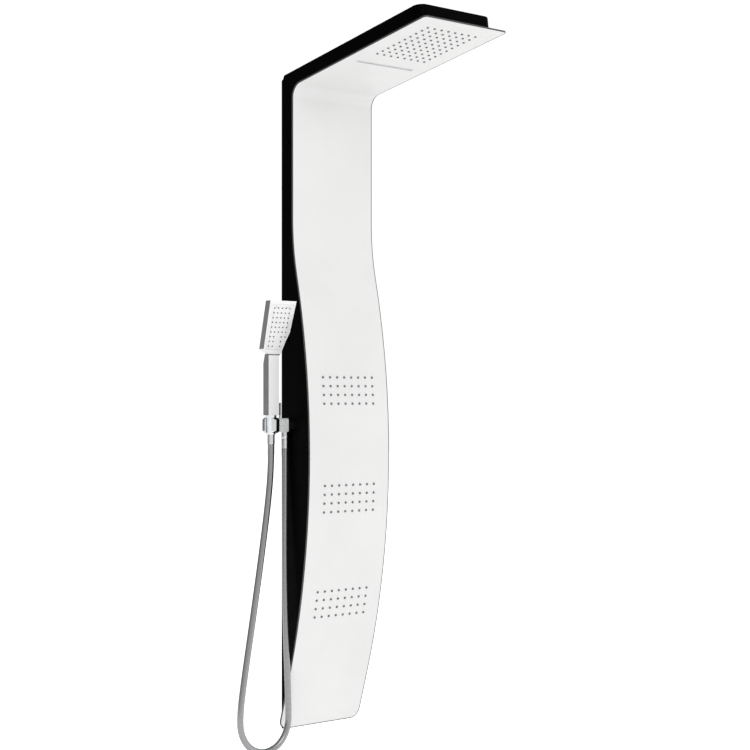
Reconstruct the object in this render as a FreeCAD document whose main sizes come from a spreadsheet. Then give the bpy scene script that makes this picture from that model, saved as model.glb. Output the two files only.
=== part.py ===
"""Rainfall shower column: a wall panel with a forward-leaning rain head, three banks of body jets, a
thermostatic mixer, a diverter and a hand shower on a hose.

Frame: millimetres, +Z up. The wall is the plane Y = 0 and the column stands in front of it, towards -Y.
The origin is the centre of the upper wall bracket's back face. The hand shower hangs on the -X side.
"""
import FreeCAD, Part
import math
import os
import re
import Sketcher
from FreeCAD import Placement, Rotation, Vector

SIZES = [
    # face panel: a sheet that drops down the wall, bellies out and turns forward as the rain head
    ("face_width", 220, "width of the face panel"),
    ("face_thickness", 3, "thickness of the face panel"),
    ("top_depth", 60, "wall to face, on the straight upper part"),
    ("head_corner_z", 115.8, "height where the planes of the face and of the head meet"),
    ("head_reach", 510.5, "wall to the front edge of the head"),
    ("head_pitch", 8.2, "rise of the head towards its front edge, degrees"),
    ("head_bend", 30, "inside radius between face and head"),
    ("hollow_radius", 512, "concave bend above the belly"),
    ("belly_radius", 1620, "convex bend of the belly"),
    ("belly_depth", 123.5, "wall to the crest of the belly"),
    ("belly_z", -690, "height of the crest of the belly"),
    ("tail_angle", 18.26, "slope of the straight lower end, degrees"),
    ("foot_z", -1301, "height of the lower end"),
    ("face_front_round", 9, "corner radius at the front of the head"),
    ("face_foot_round", 22, "corner radius at the foot"),
    # casing behind the face
    ("casing_inset", 12.5, "face edge to casing wall"),
    ("casing_wall", 2.5, "casing sheet thickness"),
    ("casing_height", 40, "face plane to the top of the casing, over the head"),
    ("casing_setback", 28.5, "front edge of the head to the casing"),
    ("casing_round", 20, "plan radius of the casing's front corners"),
    ("casing_back_round", 10, "radius of the casing's top edge at the wall"),
    # nozzles
    ("jet_pitch", 19.27, "body jet spacing"),
    ("jet_bore", 2.6, "radius of the nozzle holes in the face"),
    ("nozzle_gap", 0.35, "nozzle to hole"),
    ("nozzle_proud", 1.5, "nozzle tips beyond the face"),
    ("mat_thickness", 3, "rubber nozzle mats"),
    ("upper_jets_z", -550.2, "middle of the upper bank of jets"),
    ("middle_jets_z", -786.6, "middle of the middle bank of jets"),
    ("lower_jets_z", -1019.5, "middle of the lower bank of jets"),
    ("manifold_depth", 16, "depth of the jet manifolds and of the rain chamber"),
    ("manifold_wall", 2.5, "wall of the water chambers"),
    ("rain_pitch", 18.2, "rain nozzle spacing"),
    ("rain_reach", 326, "head corner to the middle of the rain nozzles, along the head"),
    ("spout_reach", 190, "head corner to the waterfall slot, along the head"),
    ("spout_width", 152, "length of the waterfall slot"),
    ("spout_opening", 5, "width of the waterfall slot"),
    # wall brackets and the straps that hang on them
    ("bracket_width", 120, "wall brackets"),
    ("bracket_height", 50, "wall brackets"),
    ("sheet", 3, "bracket and strap sheet"),
    ("bracket_bore", 2.75, "radius of the wall screw holes"),
    ("bracket_spacing", 80, "between the two wall screws"),
    ("lower_bracket_z", -1060, "centre of the lower wall bracket"),
    ("strap_depth", 15.5, "wall to the front of a strap"),
    # water path
    ("pipe_radius", 7.5, "water pipes"),
    ("mixer_z", -735, "axis of the thermostatic mixer"),
    ("diverter_z", -600, "axis of the diverter"),
    ("valve_depth", 52, "wall to the valve axes"),
    ("valve_radius", 21, "valve bodies"),
    ("stem_radius", 4, "cartridge stems"),
    ("knob_radius", 23, "temperature knob"),
    ("knob_height", 30, "both knobs"),
    ("running_gap", 0.5, "between pieces that turn or slide on each other"),
    ("inlet_z", -860, "height of the hot and cold inlets"),
    ("inlet_spacing", 150, "between the hot and cold inlets"),
    ("inlet_bore", 9.3, "radius of the inlet nuts' G1/2 threads"),
    # hand shower holder on the left wall
    ("outlet_z", -626, "axis of the hand shower outlet"),
    ("outlet_depth", 28, "wall to the axis of the outlet and of the hose's fixed end"),
    ("neck_length", 12.5, "casing wall to the holder block"),
    ("neck_radius", 12, "outlet neck"),
    ("holder_length", 29, "holder block"),
    ("holder_height", 30, "holder block"),
    ("holder_depth", 30, "holder block"),
    ("holder_front", 46, "wall to the front of the holder block"),
    ("hose_exit", 2, "casing wall to the side of the hose at its fixed end"),
    ("cradle_reach", 56.5, "casing wall to the axis of the cradle and the hand shower"),
    ("cradle_depth", 42, "wall to the axis of the cradle and the hand shower"),
    ("cradle_height", 33, "cradle ring"),
    ("cradle_radius", 19, "cradle ring"),
    ("cradle_crown", 22.5, "radius that rounds the cradle ring's outside"),
    ("cradle_turn", 214, "way the cradle's slot faces, degrees round from +X"),
    ("cone_top", 12, "hose cone, upper radius"),
    ("cone_foot", 9.6, "hose cone, lower radius"),
    ("cone_length", 42, "hose cone"),
    ("hose_radius", 7, "hose"),
    # hand shower
    ("grip_width", 27, "hand shower handle"),
    ("grip_depth", 21, "hand shower handle"),
    ("spray_width", 68, "hand shower head at its top"),
    ("spray_foot_width", 61, "hand shower head at its shoulders"),
    ("spray_length", 106, "hand shower head"),
    ("spray_thickness", 17, "hand shower head"),
    ("spray_lean", 16.8, "forward lean of the hand shower head, degrees"),
    ("shower_length", 247, "hand shower, end to end"),
    ("shower_foot_z", -604, "lower end of the hand shower's handle"),
    ("chin_step", 3, "hand shower head, ahead of its handle"),
    ("spray_rim", 4, "hand shower head, around its spray face"),
    ("hand_pitch", 10.6, "hand shower nozzle rows"),
    ("hand_column_pitch", 9.8, "hand shower nozzle columns"),
    ("hand_nozzle", 1.3, "radius of the hand shower's nozzles"),
]
ALIASES = [alias for alias, value, meaning in SIZES]
JET_COLUMNS, JET_ROWS = 8, 4
RAIN_COLUMNS, RAIN_ROWS = 8, 10
HAND_COLUMNS, HAND_ROWS = 5, 9

doc = FreeCAD.newDocument("ShowerColumn")
sheet = doc.addObject("Spreadsheet::Sheet", "Sizes")
for line, (alias, value, meaning) in enumerate(SIZES, start=1):
    sheet.set(f"A{line}", meaning)
    sheet.set(f"B{line}", str(value))
    sheet.setAlias(f"B{line}", alias)
doc.recompute()

# ---------------------------------------------------------------- values and expressions

def bound(text):
    """The expression with each size name pointing at its cell."""
    return re.sub(r"\b(" + "|".join(ALIASES) + r")\b", r"Sizes.\1", str(text))


def value(text):
    """What an expression comes to, in millimetres or degrees."""
    return float(sheet.evalExpression(bound(text)))


def place(thing, x="0", y="0", z="0", axis=None, angle="0"):
    """Put a document object at expressions x, y, z, turned by an expression about an axis."""
    thing.Placement = Placement(Vector(0, 0, 0), Rotation(axis or Vector(0, 0, 1), 0))
    for name, text in zip("xyz", (x, y, z)):
        thing.setExpression("Placement.Base." + name, bound(text))
    if axis is not None:
        thing.setExpression("Placement.Rotation.Angle", bound(angle))
    return thing


# ---------------------------------------------------------------- primitives and booleans

def block(name, x, y, z):
    """A box between pairs of expressions."""
    box = doc.addObject("Part::Box", name)
    for side, (low, high) in zip(("Length", "Width", "Height"), (x, y, z)):
        box.setExpression(side, bound(f"({high}) - ({low})"))
    return place(box, x[0], y[0], z[0])


TURNS = {"X": (Vector(0, 1, 0), "90"), "Y": (Vector(1, 0, 0), "-90"), "Z": (Vector(0, 0, 1), "0")}


def rod(name, axis, start, length, radius, foot_radius=None):
    """A cylinder, or a cone when foot_radius is given, from start along +X, +Y or +Z."""
    kind = "Part::Cylinder" if foot_radius is None else "Part::Cone"
    rod_object = doc.addObject(kind, name)
    rod_object.setExpression("Height", bound(length))
    if foot_radius is None:
        rod_object.setExpression("Radius", bound(radius))
    else:
        rod_object.setExpression("Radius1", bound(foot_radius))
        rod_object.setExpression("Radius2", bound(radius))
    return place(rod_object, *start, *TURNS[axis])


def fuse(name, *pieces):
    union = doc.addObject("Part::MultiFuse", name)
    union.Shapes = list(pieces)
    return union


def cut(name, base, *tools):
    """The base without its tools."""
    difference = doc.addObject("Part::Cut", name)
    difference.Base = base
    difference.Tool = tools[0] if len(tools) == 1 else fuse(name + "_tools", *tools)
    return difference


def common(name, *pieces):
    shared = doc.addObject("Part::MultiCommon", name)
    shared.Shapes = list(pieces)
    return shared


def feature(name, shape):
    """A document object that holds a shape worked out here."""
    holder = doc.addObject("Part::Feature", name)
    holder.Shape = shape
    return holder


# ---------------------------------------------------------------- sketched prisms

def outline(body, name, plane, corners, arcs):
    """A closed sketch through corners, pairs of expressions in the plane's two directions.

    arcs gives, for a side that starts at corner i, its radius and the side its middle bulges to:
    +1 to the right of the way from corner to corner, -1 to the left.
    """
    sketch = body.newObject("Sketcher::SketchObject", name)
    support = [item for item in body.Origin.OriginFeatures if item.Role == plane][0]
    sketch.AttachmentSupport = [(support, "")]
    sketch.MapMode = "FlatFace"
    points = [Vector(value(x), value(y), 0) for x, y in corners]
    count = len(points)
    ends = []
    for side in range(count):
        here, there = points[side], points[(side + 1) % count]
        if side not in arcs:
            index = sketch.addGeometry(Part.LineSegment(here, there))
            ends.append((index, 1, 2))
            continue
        radius, bulge = value(arcs[side][0]), arcs[side][1]
        chord = there - here
        left = Vector(-chord.y, chord.x, 0).normalize()
        centre = (here + there) / 2 + left * bulge * math.sqrt(radius ** 2 - (chord.Length / 2) ** 2)
        start, end = (here, there) if bulge > 0 else (there, here)
        angles = [math.atan2(point.y - centre.y, point.x - centre.x) for point in (start, end)]
        if angles[1] < angles[0]:
            angles[1] += 2 * math.pi
        circle = Part.Circle(centre, Vector(0, 0, 1), radius)
        index = sketch.addGeometry(Part.ArcOfCircle(circle, *angles))
        ends.append((index, 1, 2) if bulge > 0 else (index, 2, 1))
    for side in range(count):
        index, first, last = ends[side]
        following = ends[(side + 1) % count]
        sketch.addConstraint(Sketcher.Constraint("Coincident", index, last, following[0], following[1]))
    for side, (x, y) in enumerate(corners):
        index, first, last = ends[side]
        for kind, text, number in (("DistanceX", x, points[side].x), ("DistanceY", y, points[side].y)):
            row = sketch.addConstraint(Sketcher.Constraint(kind, index, first, number))
            sketch.setExpression(f"Constraints[{row}]", bound(text))
    for side, (radius, bulge) in arcs.items():
        row = sketch.addConstraint(Sketcher.Constraint("Radius", ends[side][0], value(radius)))
        sketch.setExpression(f"Constraints[{row}]", bound(radius))
    return sketch


def prism(name, plane, corners, low, high, arcs=None):
    """A body with one pad: an outline on an origin plane, from low to high along its normal.

    The normals are +X for YZ_Plane, -Y for XZ_Plane and +Z for XY_Plane.
    """
    body = doc.addObject("PartDesign::Body", name)
    sketch = outline(body, name + "_outline", plane, corners, arcs or {})
    sketch.setExpression("AttachmentOffset.Base.z", bound(low))
    pad = body.newObject("PartDesign::Pad", name + "_pad")
    pad.Profile = sketch
    pad.setExpression("Length", bound(f"({high}) - ({low})"))
    return body


def rounded_corners(x, y, radii):
    """Corners and arcs of a rectangle between pairs x and y, anticlockwise from its low corner.

    radii holds four expressions, or None for a square corner.
    """
    signs = ((1, 1), (-1, 1), (-1, -1), (1, -1))
    spots = ((x[0], y[0]), (x[1], y[0]), (x[1], y[1]), (x[0], y[1]))
    corners, arcs = [], {}
    for turn, ((px, py), (sx, sy), radius) in enumerate(zip(spots, signs, radii)):
        if radius is None:
            corners.append((px, py))
            continue
        along_x = (f"({px}) + {sx}*({radius})", py)
        along_y = (px, f"({py}) + {sy}*({radius})")
        arcs[len(corners)] = (radius, 1)
        corners += [along_y, along_x] if turn % 2 == 0 else [along_x, along_y]
    return corners, arcs


# ---------------------------------------------------------------- the column's side profile

HEAD_LENGTH = "((head_reach - top_depth)/cos(head_pitch))"
CASING_LENGTH = f"({HEAD_LENGTH} - casing_setback)"
CASING_X = "(face_width/2 - casing_inset)"
BULGE = "(belly_depth - top_depth)"
HOLLOW_Z = f"(belly_z + sqrt(2*{BULGE}*(hollow_radius + belly_radius) - {BULGE}^2))"
MEET_SINE = f"(({HOLLOW_Z} - belly_z)/(hollow_radius + belly_radius))"
MEET_COSINE = f"((hollow_radius + belly_radius - {BULGE})/(hollow_radius + belly_radius))"


def profile(offset):
    """Corners and arcs from the foot to the head's front edge, at an offset behind the face.

    The depth from the wall is the first value and the height the second.
    """
    belly = f"(belly_radius - {offset})"
    tail_top = (f"belly_depth - belly_radius + {belly}*cos(tail_angle)",
                f"belly_z - {belly}*sin(tail_angle)")
    fall = f"({tail_top[1]} - foot_z)"
    bend = f"(head_bend + {offset})"
    bend_z = "(head_corner_z + tan(head_pitch)*head_bend - head_bend/cos(head_pitch))"
    points = [
        (f"{tail_top[0]} - ({fall})*tan(tail_angle)", "foot_z"),
        tail_top,
        (f"belly_depth - belly_radius + {belly}*{MEET_COSINE}", f"belly_z + {belly}*{MEET_SINE}"),
        (f"top_depth - {offset}", HOLLOW_Z),
        (f"top_depth - {offset}", bend_z),
        (f"top_depth + head_bend - {bend}*sin(head_pitch)", f"{bend_z} + {bend}*cos(head_pitch)"),
        head_point(HEAD_LENGTH, offset),
    ]
    return points, {1: (belly, 1), 2: (f"(hollow_radius + {offset})", -1), 4: (bend, -1)}


def head_point(reach, offset):
    """Depth and height of a point on the head: reach along it from its corner, offset above it."""
    return (f"top_depth + ({reach})*cos(head_pitch) - ({offset})*sin(head_pitch)",
            f"head_corner_z + ({reach})*sin(head_pitch) + ({offset})*cos(head_pitch)")


def side_prism(name, points, arcs, low, high):
    """A pad across X of an outline given in depths from the wall and heights."""
    corners = [(f"-({depth})", height) for depth, height in points]
    return prism(name, "YZ_Plane", corners, low, high,
                 {side: (radius, -bulge) for side, (radius, bulge) in arcs.items()})


def closed_strip(front, back):
    """The outline between two profiles, up the first and down the second."""
    points, arcs = front
    back_points, back_arcs = back
    first, count = len(points), len(back_points)
    arcs = dict(arcs)
    arcs.update({first + count - 2 - side: (radius, -bulge) for side, (radius, bulge) in back_arcs.items()})
    return points + back_points[::-1], arcs


def head_block(name, x, reach, height):
    """A box in the head's own directions: across, along the head and square to it."""
    box = doc.addObject("Part::Box", name)
    for side, (low, high) in zip(("Length", "Width", "Height"), (x, reach, height)):
        box.setExpression(side, bound(f"({high}) - ({low})"))
    depth, level = head_point(reach[1], height[0])
    return place(box, x[0], f"-({depth})", level, Vector(1, 0, 0), "-head_pitch")


def head_rod(name, x, reach, height, length, radius):
    """A cylinder along the head, starting at reach and running towards its front edge."""
    tube = doc.addObject("Part::Cylinder", name)
    tube.setExpression("Height", bound(length))
    tube.setExpression("Radius", bound(radius))
    depth, level = head_point(reach, height)
    return place(tube, x, f"-({depth})", level, Vector(1, 0, 0), "90 - head_pitch")


NODES = {}


def keep(name, shape_object):
    """Register a sub-part: its label is its node's name."""
    shape_object.Label = name
    NODES[name] = shape_object
    return shape_object


# ---------------------------------------------------------------- nozzle fields

def jet_field(name, bank_z, radius, behind):
    """Body jets of one bank: cylinders square to the belly, from behind the face to beyond it."""
    centre_y = -(value("belly_depth") - value("belly_radius"))
    middle = math.asin((value(bank_z) - value("belly_z")) / value("belly_radius"))
    step = value("jet_pitch") / value("belly_radius")
    start, reach = value(f"belly_radius - ({behind})"), value(f"({behind}) + nozzle_proud")
    cylinders = []
    for row in range(JET_ROWS):
        turn = middle + (row - (JET_ROWS - 1) / 2) * step
        outward = Vector(0, -math.cos(turn), math.sin(turn))
        foot = Vector(0, centre_y, value("belly_z")) + outward * start
        for column in range(JET_COLUMNS):
            x = (column - (JET_COLUMNS - 1) / 2) * value("jet_pitch")
            cylinders.append(Part.makeCylinder(value(radius), reach, foot + Vector(x, 0, 0), outward))
    return feature(name, Part.Compound(cylinders))


def rain_field(name, radius, behind):
    """Rain nozzles: cylinders square to the head, from above the face to beyond its underside."""
    turn = math.radians(value("head_pitch"))
    along = Vector(0, -math.cos(turn), math.sin(turn))
    down = Vector(0, -math.sin(turn), -math.cos(turn))
    corner = Vector(0, -value("top_depth"), value("head_corner_z"))
    cylinders = []
    for row in range(RAIN_ROWS):
        reach = value("rain_reach") + (row - (RAIN_ROWS - 1) / 2) * value("rain_pitch")
        for column in range(RAIN_COLUMNS):
            x = (column - (RAIN_COLUMNS - 1) / 2) * value("rain_pitch")
            foot = corner + along * reach - down * value(behind) + Vector(x, 0, 0)
            length = value(f"({behind}) + nozzle_proud")
            cylinders.append(Part.makeCylinder(value(radius), length, foot, down))
    return feature(name, Part.Compound(cylinders))


# ---------------------------------------------------------------- face and casing

def plan_prism(name, half_width, front, radius):
    """A tall block seen square to the head, with its two front corners rounded."""
    corners, arcs = rounded_corners((f"-({half_width})", half_width), (f"-({front})", "500"),
                                    (radius, radius, None, None))
    body = prism(name, "XY_Plane", corners, "foot_z - head_corner_z - 300", "120", arcs)
    return place(body, "0", "-top_depth", "head_corner_z", Vector(1, 0, 0), "-head_pitch")


def front_prism(name, half_width, radius):
    """A deep block seen from the front, with its two lower corners rounded."""
    corners, arcs = rounded_corners((f"-({half_width})", half_width), ("foot_z", "head_corner_z + 300"),
                                    (radius, radius, None, None))
    return prism(name, "XZ_Plane", corners, "-50", "head_reach + 50", arcs)


def make_face():
    points, arcs = closed_strip(profile("0"), profile("face_thickness"))
    sheet_strip = side_prism("face_strip", points, arcs, "-face_width/2", "face_width/2")
    blank = common("face_blank", sheet_strip,
                   plan_prism("face_plan", "face_width/2", HEAD_LENGTH, "face_front_round"),
                   front_prism("face_front", "face_width/2", "face_foot_round"))
    slot = head_block("face_slot", ("-spout_width/2", "spout_width/2"),
                      ("spout_reach - spout_opening/2", "spout_reach + spout_opening/2"), ("-5", "10"))
    holes = [jet_field("face_holes_" + bank, bank + "_jets_z", "jet_bore", "face_thickness + 4")
             for bank in ("upper", "middle", "lower")]
    holes.append(rain_field("face_rain_holes", "jet_bore", "face_thickness + 4"))
    keep("face_panel", cut("face_panel_cut", blank, slot, *holes))


def make_casing():
    """One black casing in three pieces: two side walls, and the head's cover with its rounded corners."""
    top_z = ("(head_corner_z + (casing_back_round - top_depth)*tan(head_pitch)"
             " + casing_height/cos(head_pitch))")
    round_z = f"({top_z} - casing_back_round/cos(head_pitch))"

    def back_corner(radius):
        """Where the rounded top edge leaves the top, at a radius about the edge's own centre."""
        return (f"casing_back_round - ({radius})*sin(head_pitch)",
                f"{round_z} + ({radius})*cos(head_pitch)")

    points, arcs = profile("face_thickness")
    points = points[:-1] + [head_point(CASING_LENGTH, "face_thickness"),
                            head_point(CASING_LENGTH, "casing_height"),
                            back_corner("casing_back_round"), ("0", round_z), ("0", "foot_z")]
    arcs[len(profile("0")[0]) + 1] = ("casing_back_round", -1)
    outer = common("casing_outer",
                   side_prism("casing_side", points, arcs, f"-{CASING_X}", CASING_X),
                   plan_prism("casing_plan", CASING_X, CASING_LENGTH, "casing_round"))
    inner_round = "(casing_back_round - casing_wall)"
    hollow = [("-20", round_z + " - 12"), ("casing_wall", round_z + " - 12"), ("casing_wall", round_z),
              back_corner(inner_round),
              head_point(f"{CASING_LENGTH} - casing_wall", "casing_height - casing_wall"),
              head_point(f"{CASING_LENGTH} - casing_wall", "-60"), ("head_reach", "foot_z - 40"),
              ("-20", "foot_z - 40")]
    inside = f"({CASING_X} - casing_wall)"
    inner = common("casing_inner",
                   side_prism("casing_hollow", hollow, {2: (inner_round, 1)}, f"-{inside}", inside),
                   plan_prism("casing_hollow_plan", inside, f"{CASING_LENGTH} - casing_wall",
                              "casing_round - casing_wall"))
    shell = cut("casing_shell", outer, inner)
    split = ("-1700", f"{CASING_LENGTH} - casing_round")
    zones = {"left": (f"-{CASING_X} - 1", f"-{inside}"), "right": (inside, f"{CASING_X} + 1")}
    zone_blocks = {side: head_block("casing_zone_" + side, x, split, ("-1700", "200"))
                   for side, x in zones.items()}
    keep("head_cover", cut("head_cover_cut", shell, *zone_blocks.values()))

    walls = {side: common("casing_wall_" + side, shell, zone) for side, zone in zone_blocks.items()}
    left_tools = [rod("outlet_wall_hole", "X", (f"-{CASING_X} - 1", "-outlet_depth", "outlet_z"),
                      "casing_wall + 2", "neck_radius - 2")]
    right_tools = [rod(f"{valve}_wall_hole", "X", (f"{inside} - 1", "-valve_depth", f"{valve}_z"),
                       "casing_wall + 2", "stem_radius + 4") for valve in ("mixer", "diverter")]
    for name, (strap_z, bracket) in STRAPS.items():
        for side, tools, start in (("left", left_tools, f"-{CASING_X} - 1"),
                                   ("right", right_tools, f"{inside} - 1")):
            tools.append(rod(f"{name}_{side}_wall_hole", "X", (start, "-strap_depth - 10", strap_z),
                             "casing_wall + 2", SCREW_RADIUS + " + 0.1"))
    keep("casing_side_left", cut("casing_side_left_cut", walls["left"], *left_tools))
    keep("casing_side_right", cut("casing_side_right_cut", walls["right"], *right_tools))


# ---------------------------------------------------------------- straps, brackets and their screws

STRAPS = {"cross_strap_upper": ("0", "wall_bracket_upper"),
          "cross_strap_middle": ("(lower_bracket_z/2 + 90)", None),
          "cross_strap_lower": ("lower_bracket_z", "wall_bracket_lower")}
SCREW_RADIUS = "1.9"
INSIDE_X = f"({CASING_X} - casing_wall)"


def make_strap(name, strap_z, bracket):
    """A strap between the side walls; one that hangs on a wall bracket has a hooked top edge."""
    top = f"{strap_z} + bracket_height - 6 + sheet" if bracket else f"{strap_z} + 30"
    pieces = [block(name + "_web", (f"-{INSIDE_X}", INSIDE_X), ("-strap_depth", "-strap_depth + sheet"),
                    (f"{strap_z} - 30", top))]
    for side, x in (("left", (f"-{INSIDE_X}", f"-{INSIDE_X} + sheet")),
                    ("right", (f"{INSIDE_X} - sheet", INSIDE_X))):
        tab = block(f"{name}_{side}_tab", x, ("-strap_depth - 20", "-strap_depth"),
                    (f"{strap_z} - 15", f"{strap_z} + 15"))
        hole = rod(f"{name}_{side}_hole", "X", (f"{x[0]} - 1", "-strap_depth - 10", strap_z),
                   "sheet + 2", SCREW_RADIUS + " + 0.1")
        pieces.append(cut(f"{name}_{side}_drilled", tab, hole))
    if bracket:
        wide = ("-bracket_width/2", "bracket_width/2")
        pieces.append(block(name + "_shelf", wide, ("-strap_depth", "-1.5*sheet"), (f"{top} - sheet", top)))
        pieces.append(block(name + "_lip", wide, ("-2.5*sheet", "-1.5*sheet"), (f"{top} - 5*sheet", top)))
    keep(name, fuse(name + "_union", *pieces))


def make_bracket(name, bracket_z):
    """A wall plate with two screw holes and an upturned edge that the strap hooks over."""
    wide = ("-bracket_width/2", "bracket_width/2")
    top = f"{bracket_z} + bracket_height/2"
    plate = block(name + "_plate", wide, ("-sheet", "0"), (f"{bracket_z} - bracket_height/2", top))
    shelf = block(name + "_shelf", wide, ("-4*sheet", "0"), (f"{top} - sheet", top))
    lip = block(name + "_lip", wide, ("-4*sheet", "-3*sheet"),
                (f"{top} - sheet", f"{top} + bracket_height/2 - 6"))
    holes = [rod(f"{name}_hole_{side}", "Y", (f"{side}*bracket_spacing/2", "-sheet - 1", bracket_z),
                 "sheet + 2", "bracket_bore") for side in (-1, 1)]
    keep(name, cut(name + "_cut", fuse(name + "_union", plate, shelf, lip), *holes))


def make_casing_screws():
    """Pan-head screws through the side walls into the straps' tabs."""
    screws = []
    for name, (strap_z, bracket) in STRAPS.items():
        for side, head_x, shank_x in (("left", f"-{CASING_X} - 1.6", f"-{CASING_X}"),
                                      ("right", CASING_X, f"{CASING_X} - 8")):
            spot = ("-strap_depth - 10", strap_z)
            head = rod(f"{name}_{side}_screw_head", "X", (head_x, *spot), "1.6", "3.4")
            shank = rod(f"{name}_{side}_screw_shank", "X", (shank_x, *spot), "8", SCREW_RADIUS)
            screws.append(fuse(f"{name}_{side}_screw", head, shank))
    keep("casing_screws", feature("casing_screw_set", compound_of(screws)))


def compound_of(objects):
    """A compound of the finished shapes of some objects."""
    doc.recompute()
    return Part.Compound([item.Shape.copy() for item in objects])


# ---------------------------------------------------------------- nozzle mats and water chambers

def jet_sector(name, bank_z, inner, outer, half_length, half_width):
    """A slab that follows the belly, between two distances behind the face."""
    middle = f"asin(({bank_z} - belly_z)/belly_radius)"
    spread = f"(({half_length})/belly_radius*180/pi*1 deg)"

    def spot(offset, sign):
        turn = f"({middle} {sign} {spread})"
        radius = f"(belly_radius - ({offset}))"
        return (f"belly_depth - belly_radius + {radius}*cos({turn})", f"belly_z + {radius}*sin({turn})")

    points = [spot(inner, "-"), spot(inner, "+"), spot(outer, "+"), spot(outer, "-")]
    arcs = {0: (f"(belly_radius - ({inner}))", 1), 2: (f"(belly_radius - ({outer}))", -1)}
    return side_prism(name, points, arcs, f"-({half_width})", half_width)


RISER_X, RISER_DEPTH = "-50", "84"


def make_jet_bank(bank):
    bank_z = bank + "_jets_z"
    half_length = f"({JET_ROWS}/2*jet_pitch + 4)"
    half_width = f"({JET_COLUMNS}/2*jet_pitch + 2)"
    mat_back = "(face_thickness + mat_thickness)"
    mat = jet_sector(bank + "_mat", bank_z, "face_thickness", mat_back, half_length, half_width)
    tips = jet_field(bank + "_tips", bank_z, "jet_bore - nozzle_gap", "face_thickness + mat_thickness/2")
    keep("jet_nozzles_" + bank, fuse(bank + "_mat_union", mat, tips))

    back = f"({mat_back} + manifold_depth)"
    shell = jet_sector(bank + "_manifold", bank_z, mat_back, back, half_length, half_width)
    hollow = jet_sector(bank + "_manifold_hollow", bank_z, f"{mat_back} - 1", f"{back} - manifold_wall",
                        f"{half_length} - manifold_wall", f"{half_width} - manifold_wall")
    port_depth = riser_depth_at(bank_z)
    belly_depth_here = f"(belly_depth - belly_radius + sqrt(belly_radius^2 - ({bank_z} - belly_z)^2))"
    port = rod(bank + "_port", "Y", (RISER_X, f"-({belly_depth_here} - {back} + manifold_wall/2)", bank_z),
               f"{belly_depth_here} - {back} + manifold_wall/2 - ({port_depth}) - pipe_radius + 0.5",
               "pipe_radius - 1")
    chamber = cut(bank + "_manifold_cut", shell, hollow)
    keep("jet_manifold_" + bank, fuse(bank + "_manifold_union", chamber, port))


def riser_depth_at(level):
    """Wall to the jet riser: upright down to the middle bank, then leaning in to the lower bank."""
    if level == "lower_jets_z":
        return f"({RISER_DEPTH} - 30)"
    return RISER_DEPTH


def make_rain_head():
    half_width = f"({RAIN_COLUMNS}/2*rain_pitch + 6)"
    half_length = f"({RAIN_ROWS}/2*rain_pitch + 3.5)"
    mat_top = "(face_thickness + mat_thickness)"
    across = (f"-{half_width}", half_width)
    along = (f"rain_reach - {half_length}", f"rain_reach + {half_length}")
    mat = head_block("rain_mat", across, along, ("face_thickness", mat_top))
    tips = rain_field("rain_tips", "jet_bore - nozzle_gap", "face_thickness + mat_thickness/2")
    keep("rain_nozzles", fuse("rain_mat_union", mat, tips))

    top = f"({mat_top} + manifold_depth)"
    shell = head_block("rain_box", across, along, (mat_top, top))
    boss = head_rod("rain_boss", RAIN_PIPE_X, along[0], RAIN_PIPE_LEVEL, "34", "pipe_radius + 1")
    boss_bore = head_rod("rain_boss_bore", RAIN_PIPE_X, f"{along[0]} - 1", RAIN_PIPE_LEVEL, "31",
                         "pipe_radius")
    hollow = head_block("rain_hollow",
                        (f"-({half_width} - manifold_wall)", f"{half_width} - manifold_wall"),
                        (f"{along[0]} + manifold_wall", f"{along[1]} - manifold_wall"),
                        (f"{mat_top} - 1", f"{top} - manifold_wall"))
    solid = fuse("rain_chamber_union", cut("rain_box_cut", shell, hollow), boss)
    keep("rain_chamber", cut("rain_chamber_cut", solid, boss_bore))


def make_waterfall():
    """The waterfall spout: a shallow box over the face with a flat mouth through the face's slot.

    The rain pipe passes over the box, which is grooved where a thick pipe comes down into it.
    """
    half = "(spout_width/2 + 6)"
    box = head_block("spout_box", (f"-{half}", half), ("spout_reach - 12", "spout_reach + 12"),
                     ("face_thickness", "face_thickness + manifold_depth + 1"))
    gap = "0.25"
    mouth = head_block("spout_mouth", (f"-spout_width/2 + {gap}", f"spout_width/2 - {gap}"),
                       (f"spout_reach - spout_opening/2 + {gap}", f"spout_reach + spout_opening/2 - {gap}"),
                       ("-1", "face_thickness + 2"))
    under_pipe = f"({RAIN_PIPE_LEVEL} - pipe_radius - 2)"
    hollow = head_block("spout_hollow", (f"-{half} + manifold_wall", f"{half} - manifold_wall"),
                        ("spout_reach - 9.5", "spout_reach + 9.5"),
                        ("face_thickness + manifold_wall",
                         f"min(face_thickness + manifold_depth - 1.5; {under_pipe})"))
    pipe_room = head_rod("spout_pipe_room", RAIN_PIPE_X, "spout_reach - 14", RAIN_PIPE_LEVEL, "28",
                         "pipe_radius + 0.4")
    way_out = head_block("spout_way_out", ("-spout_width/2 + 1.2", "spout_width/2 - 1.2"),
                         ("spout_reach - spout_opening/2 + 1.2", "spout_reach + spout_opening/2 - 1.2"),
                         ("-2", "face_thickness + 4"))
    keep("waterfall_spout", cut("spout_cut", fuse("spout_union", box, mouth), hollow, way_out, pipe_room))


# ---------------------------------------------------------------- pipes

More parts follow.
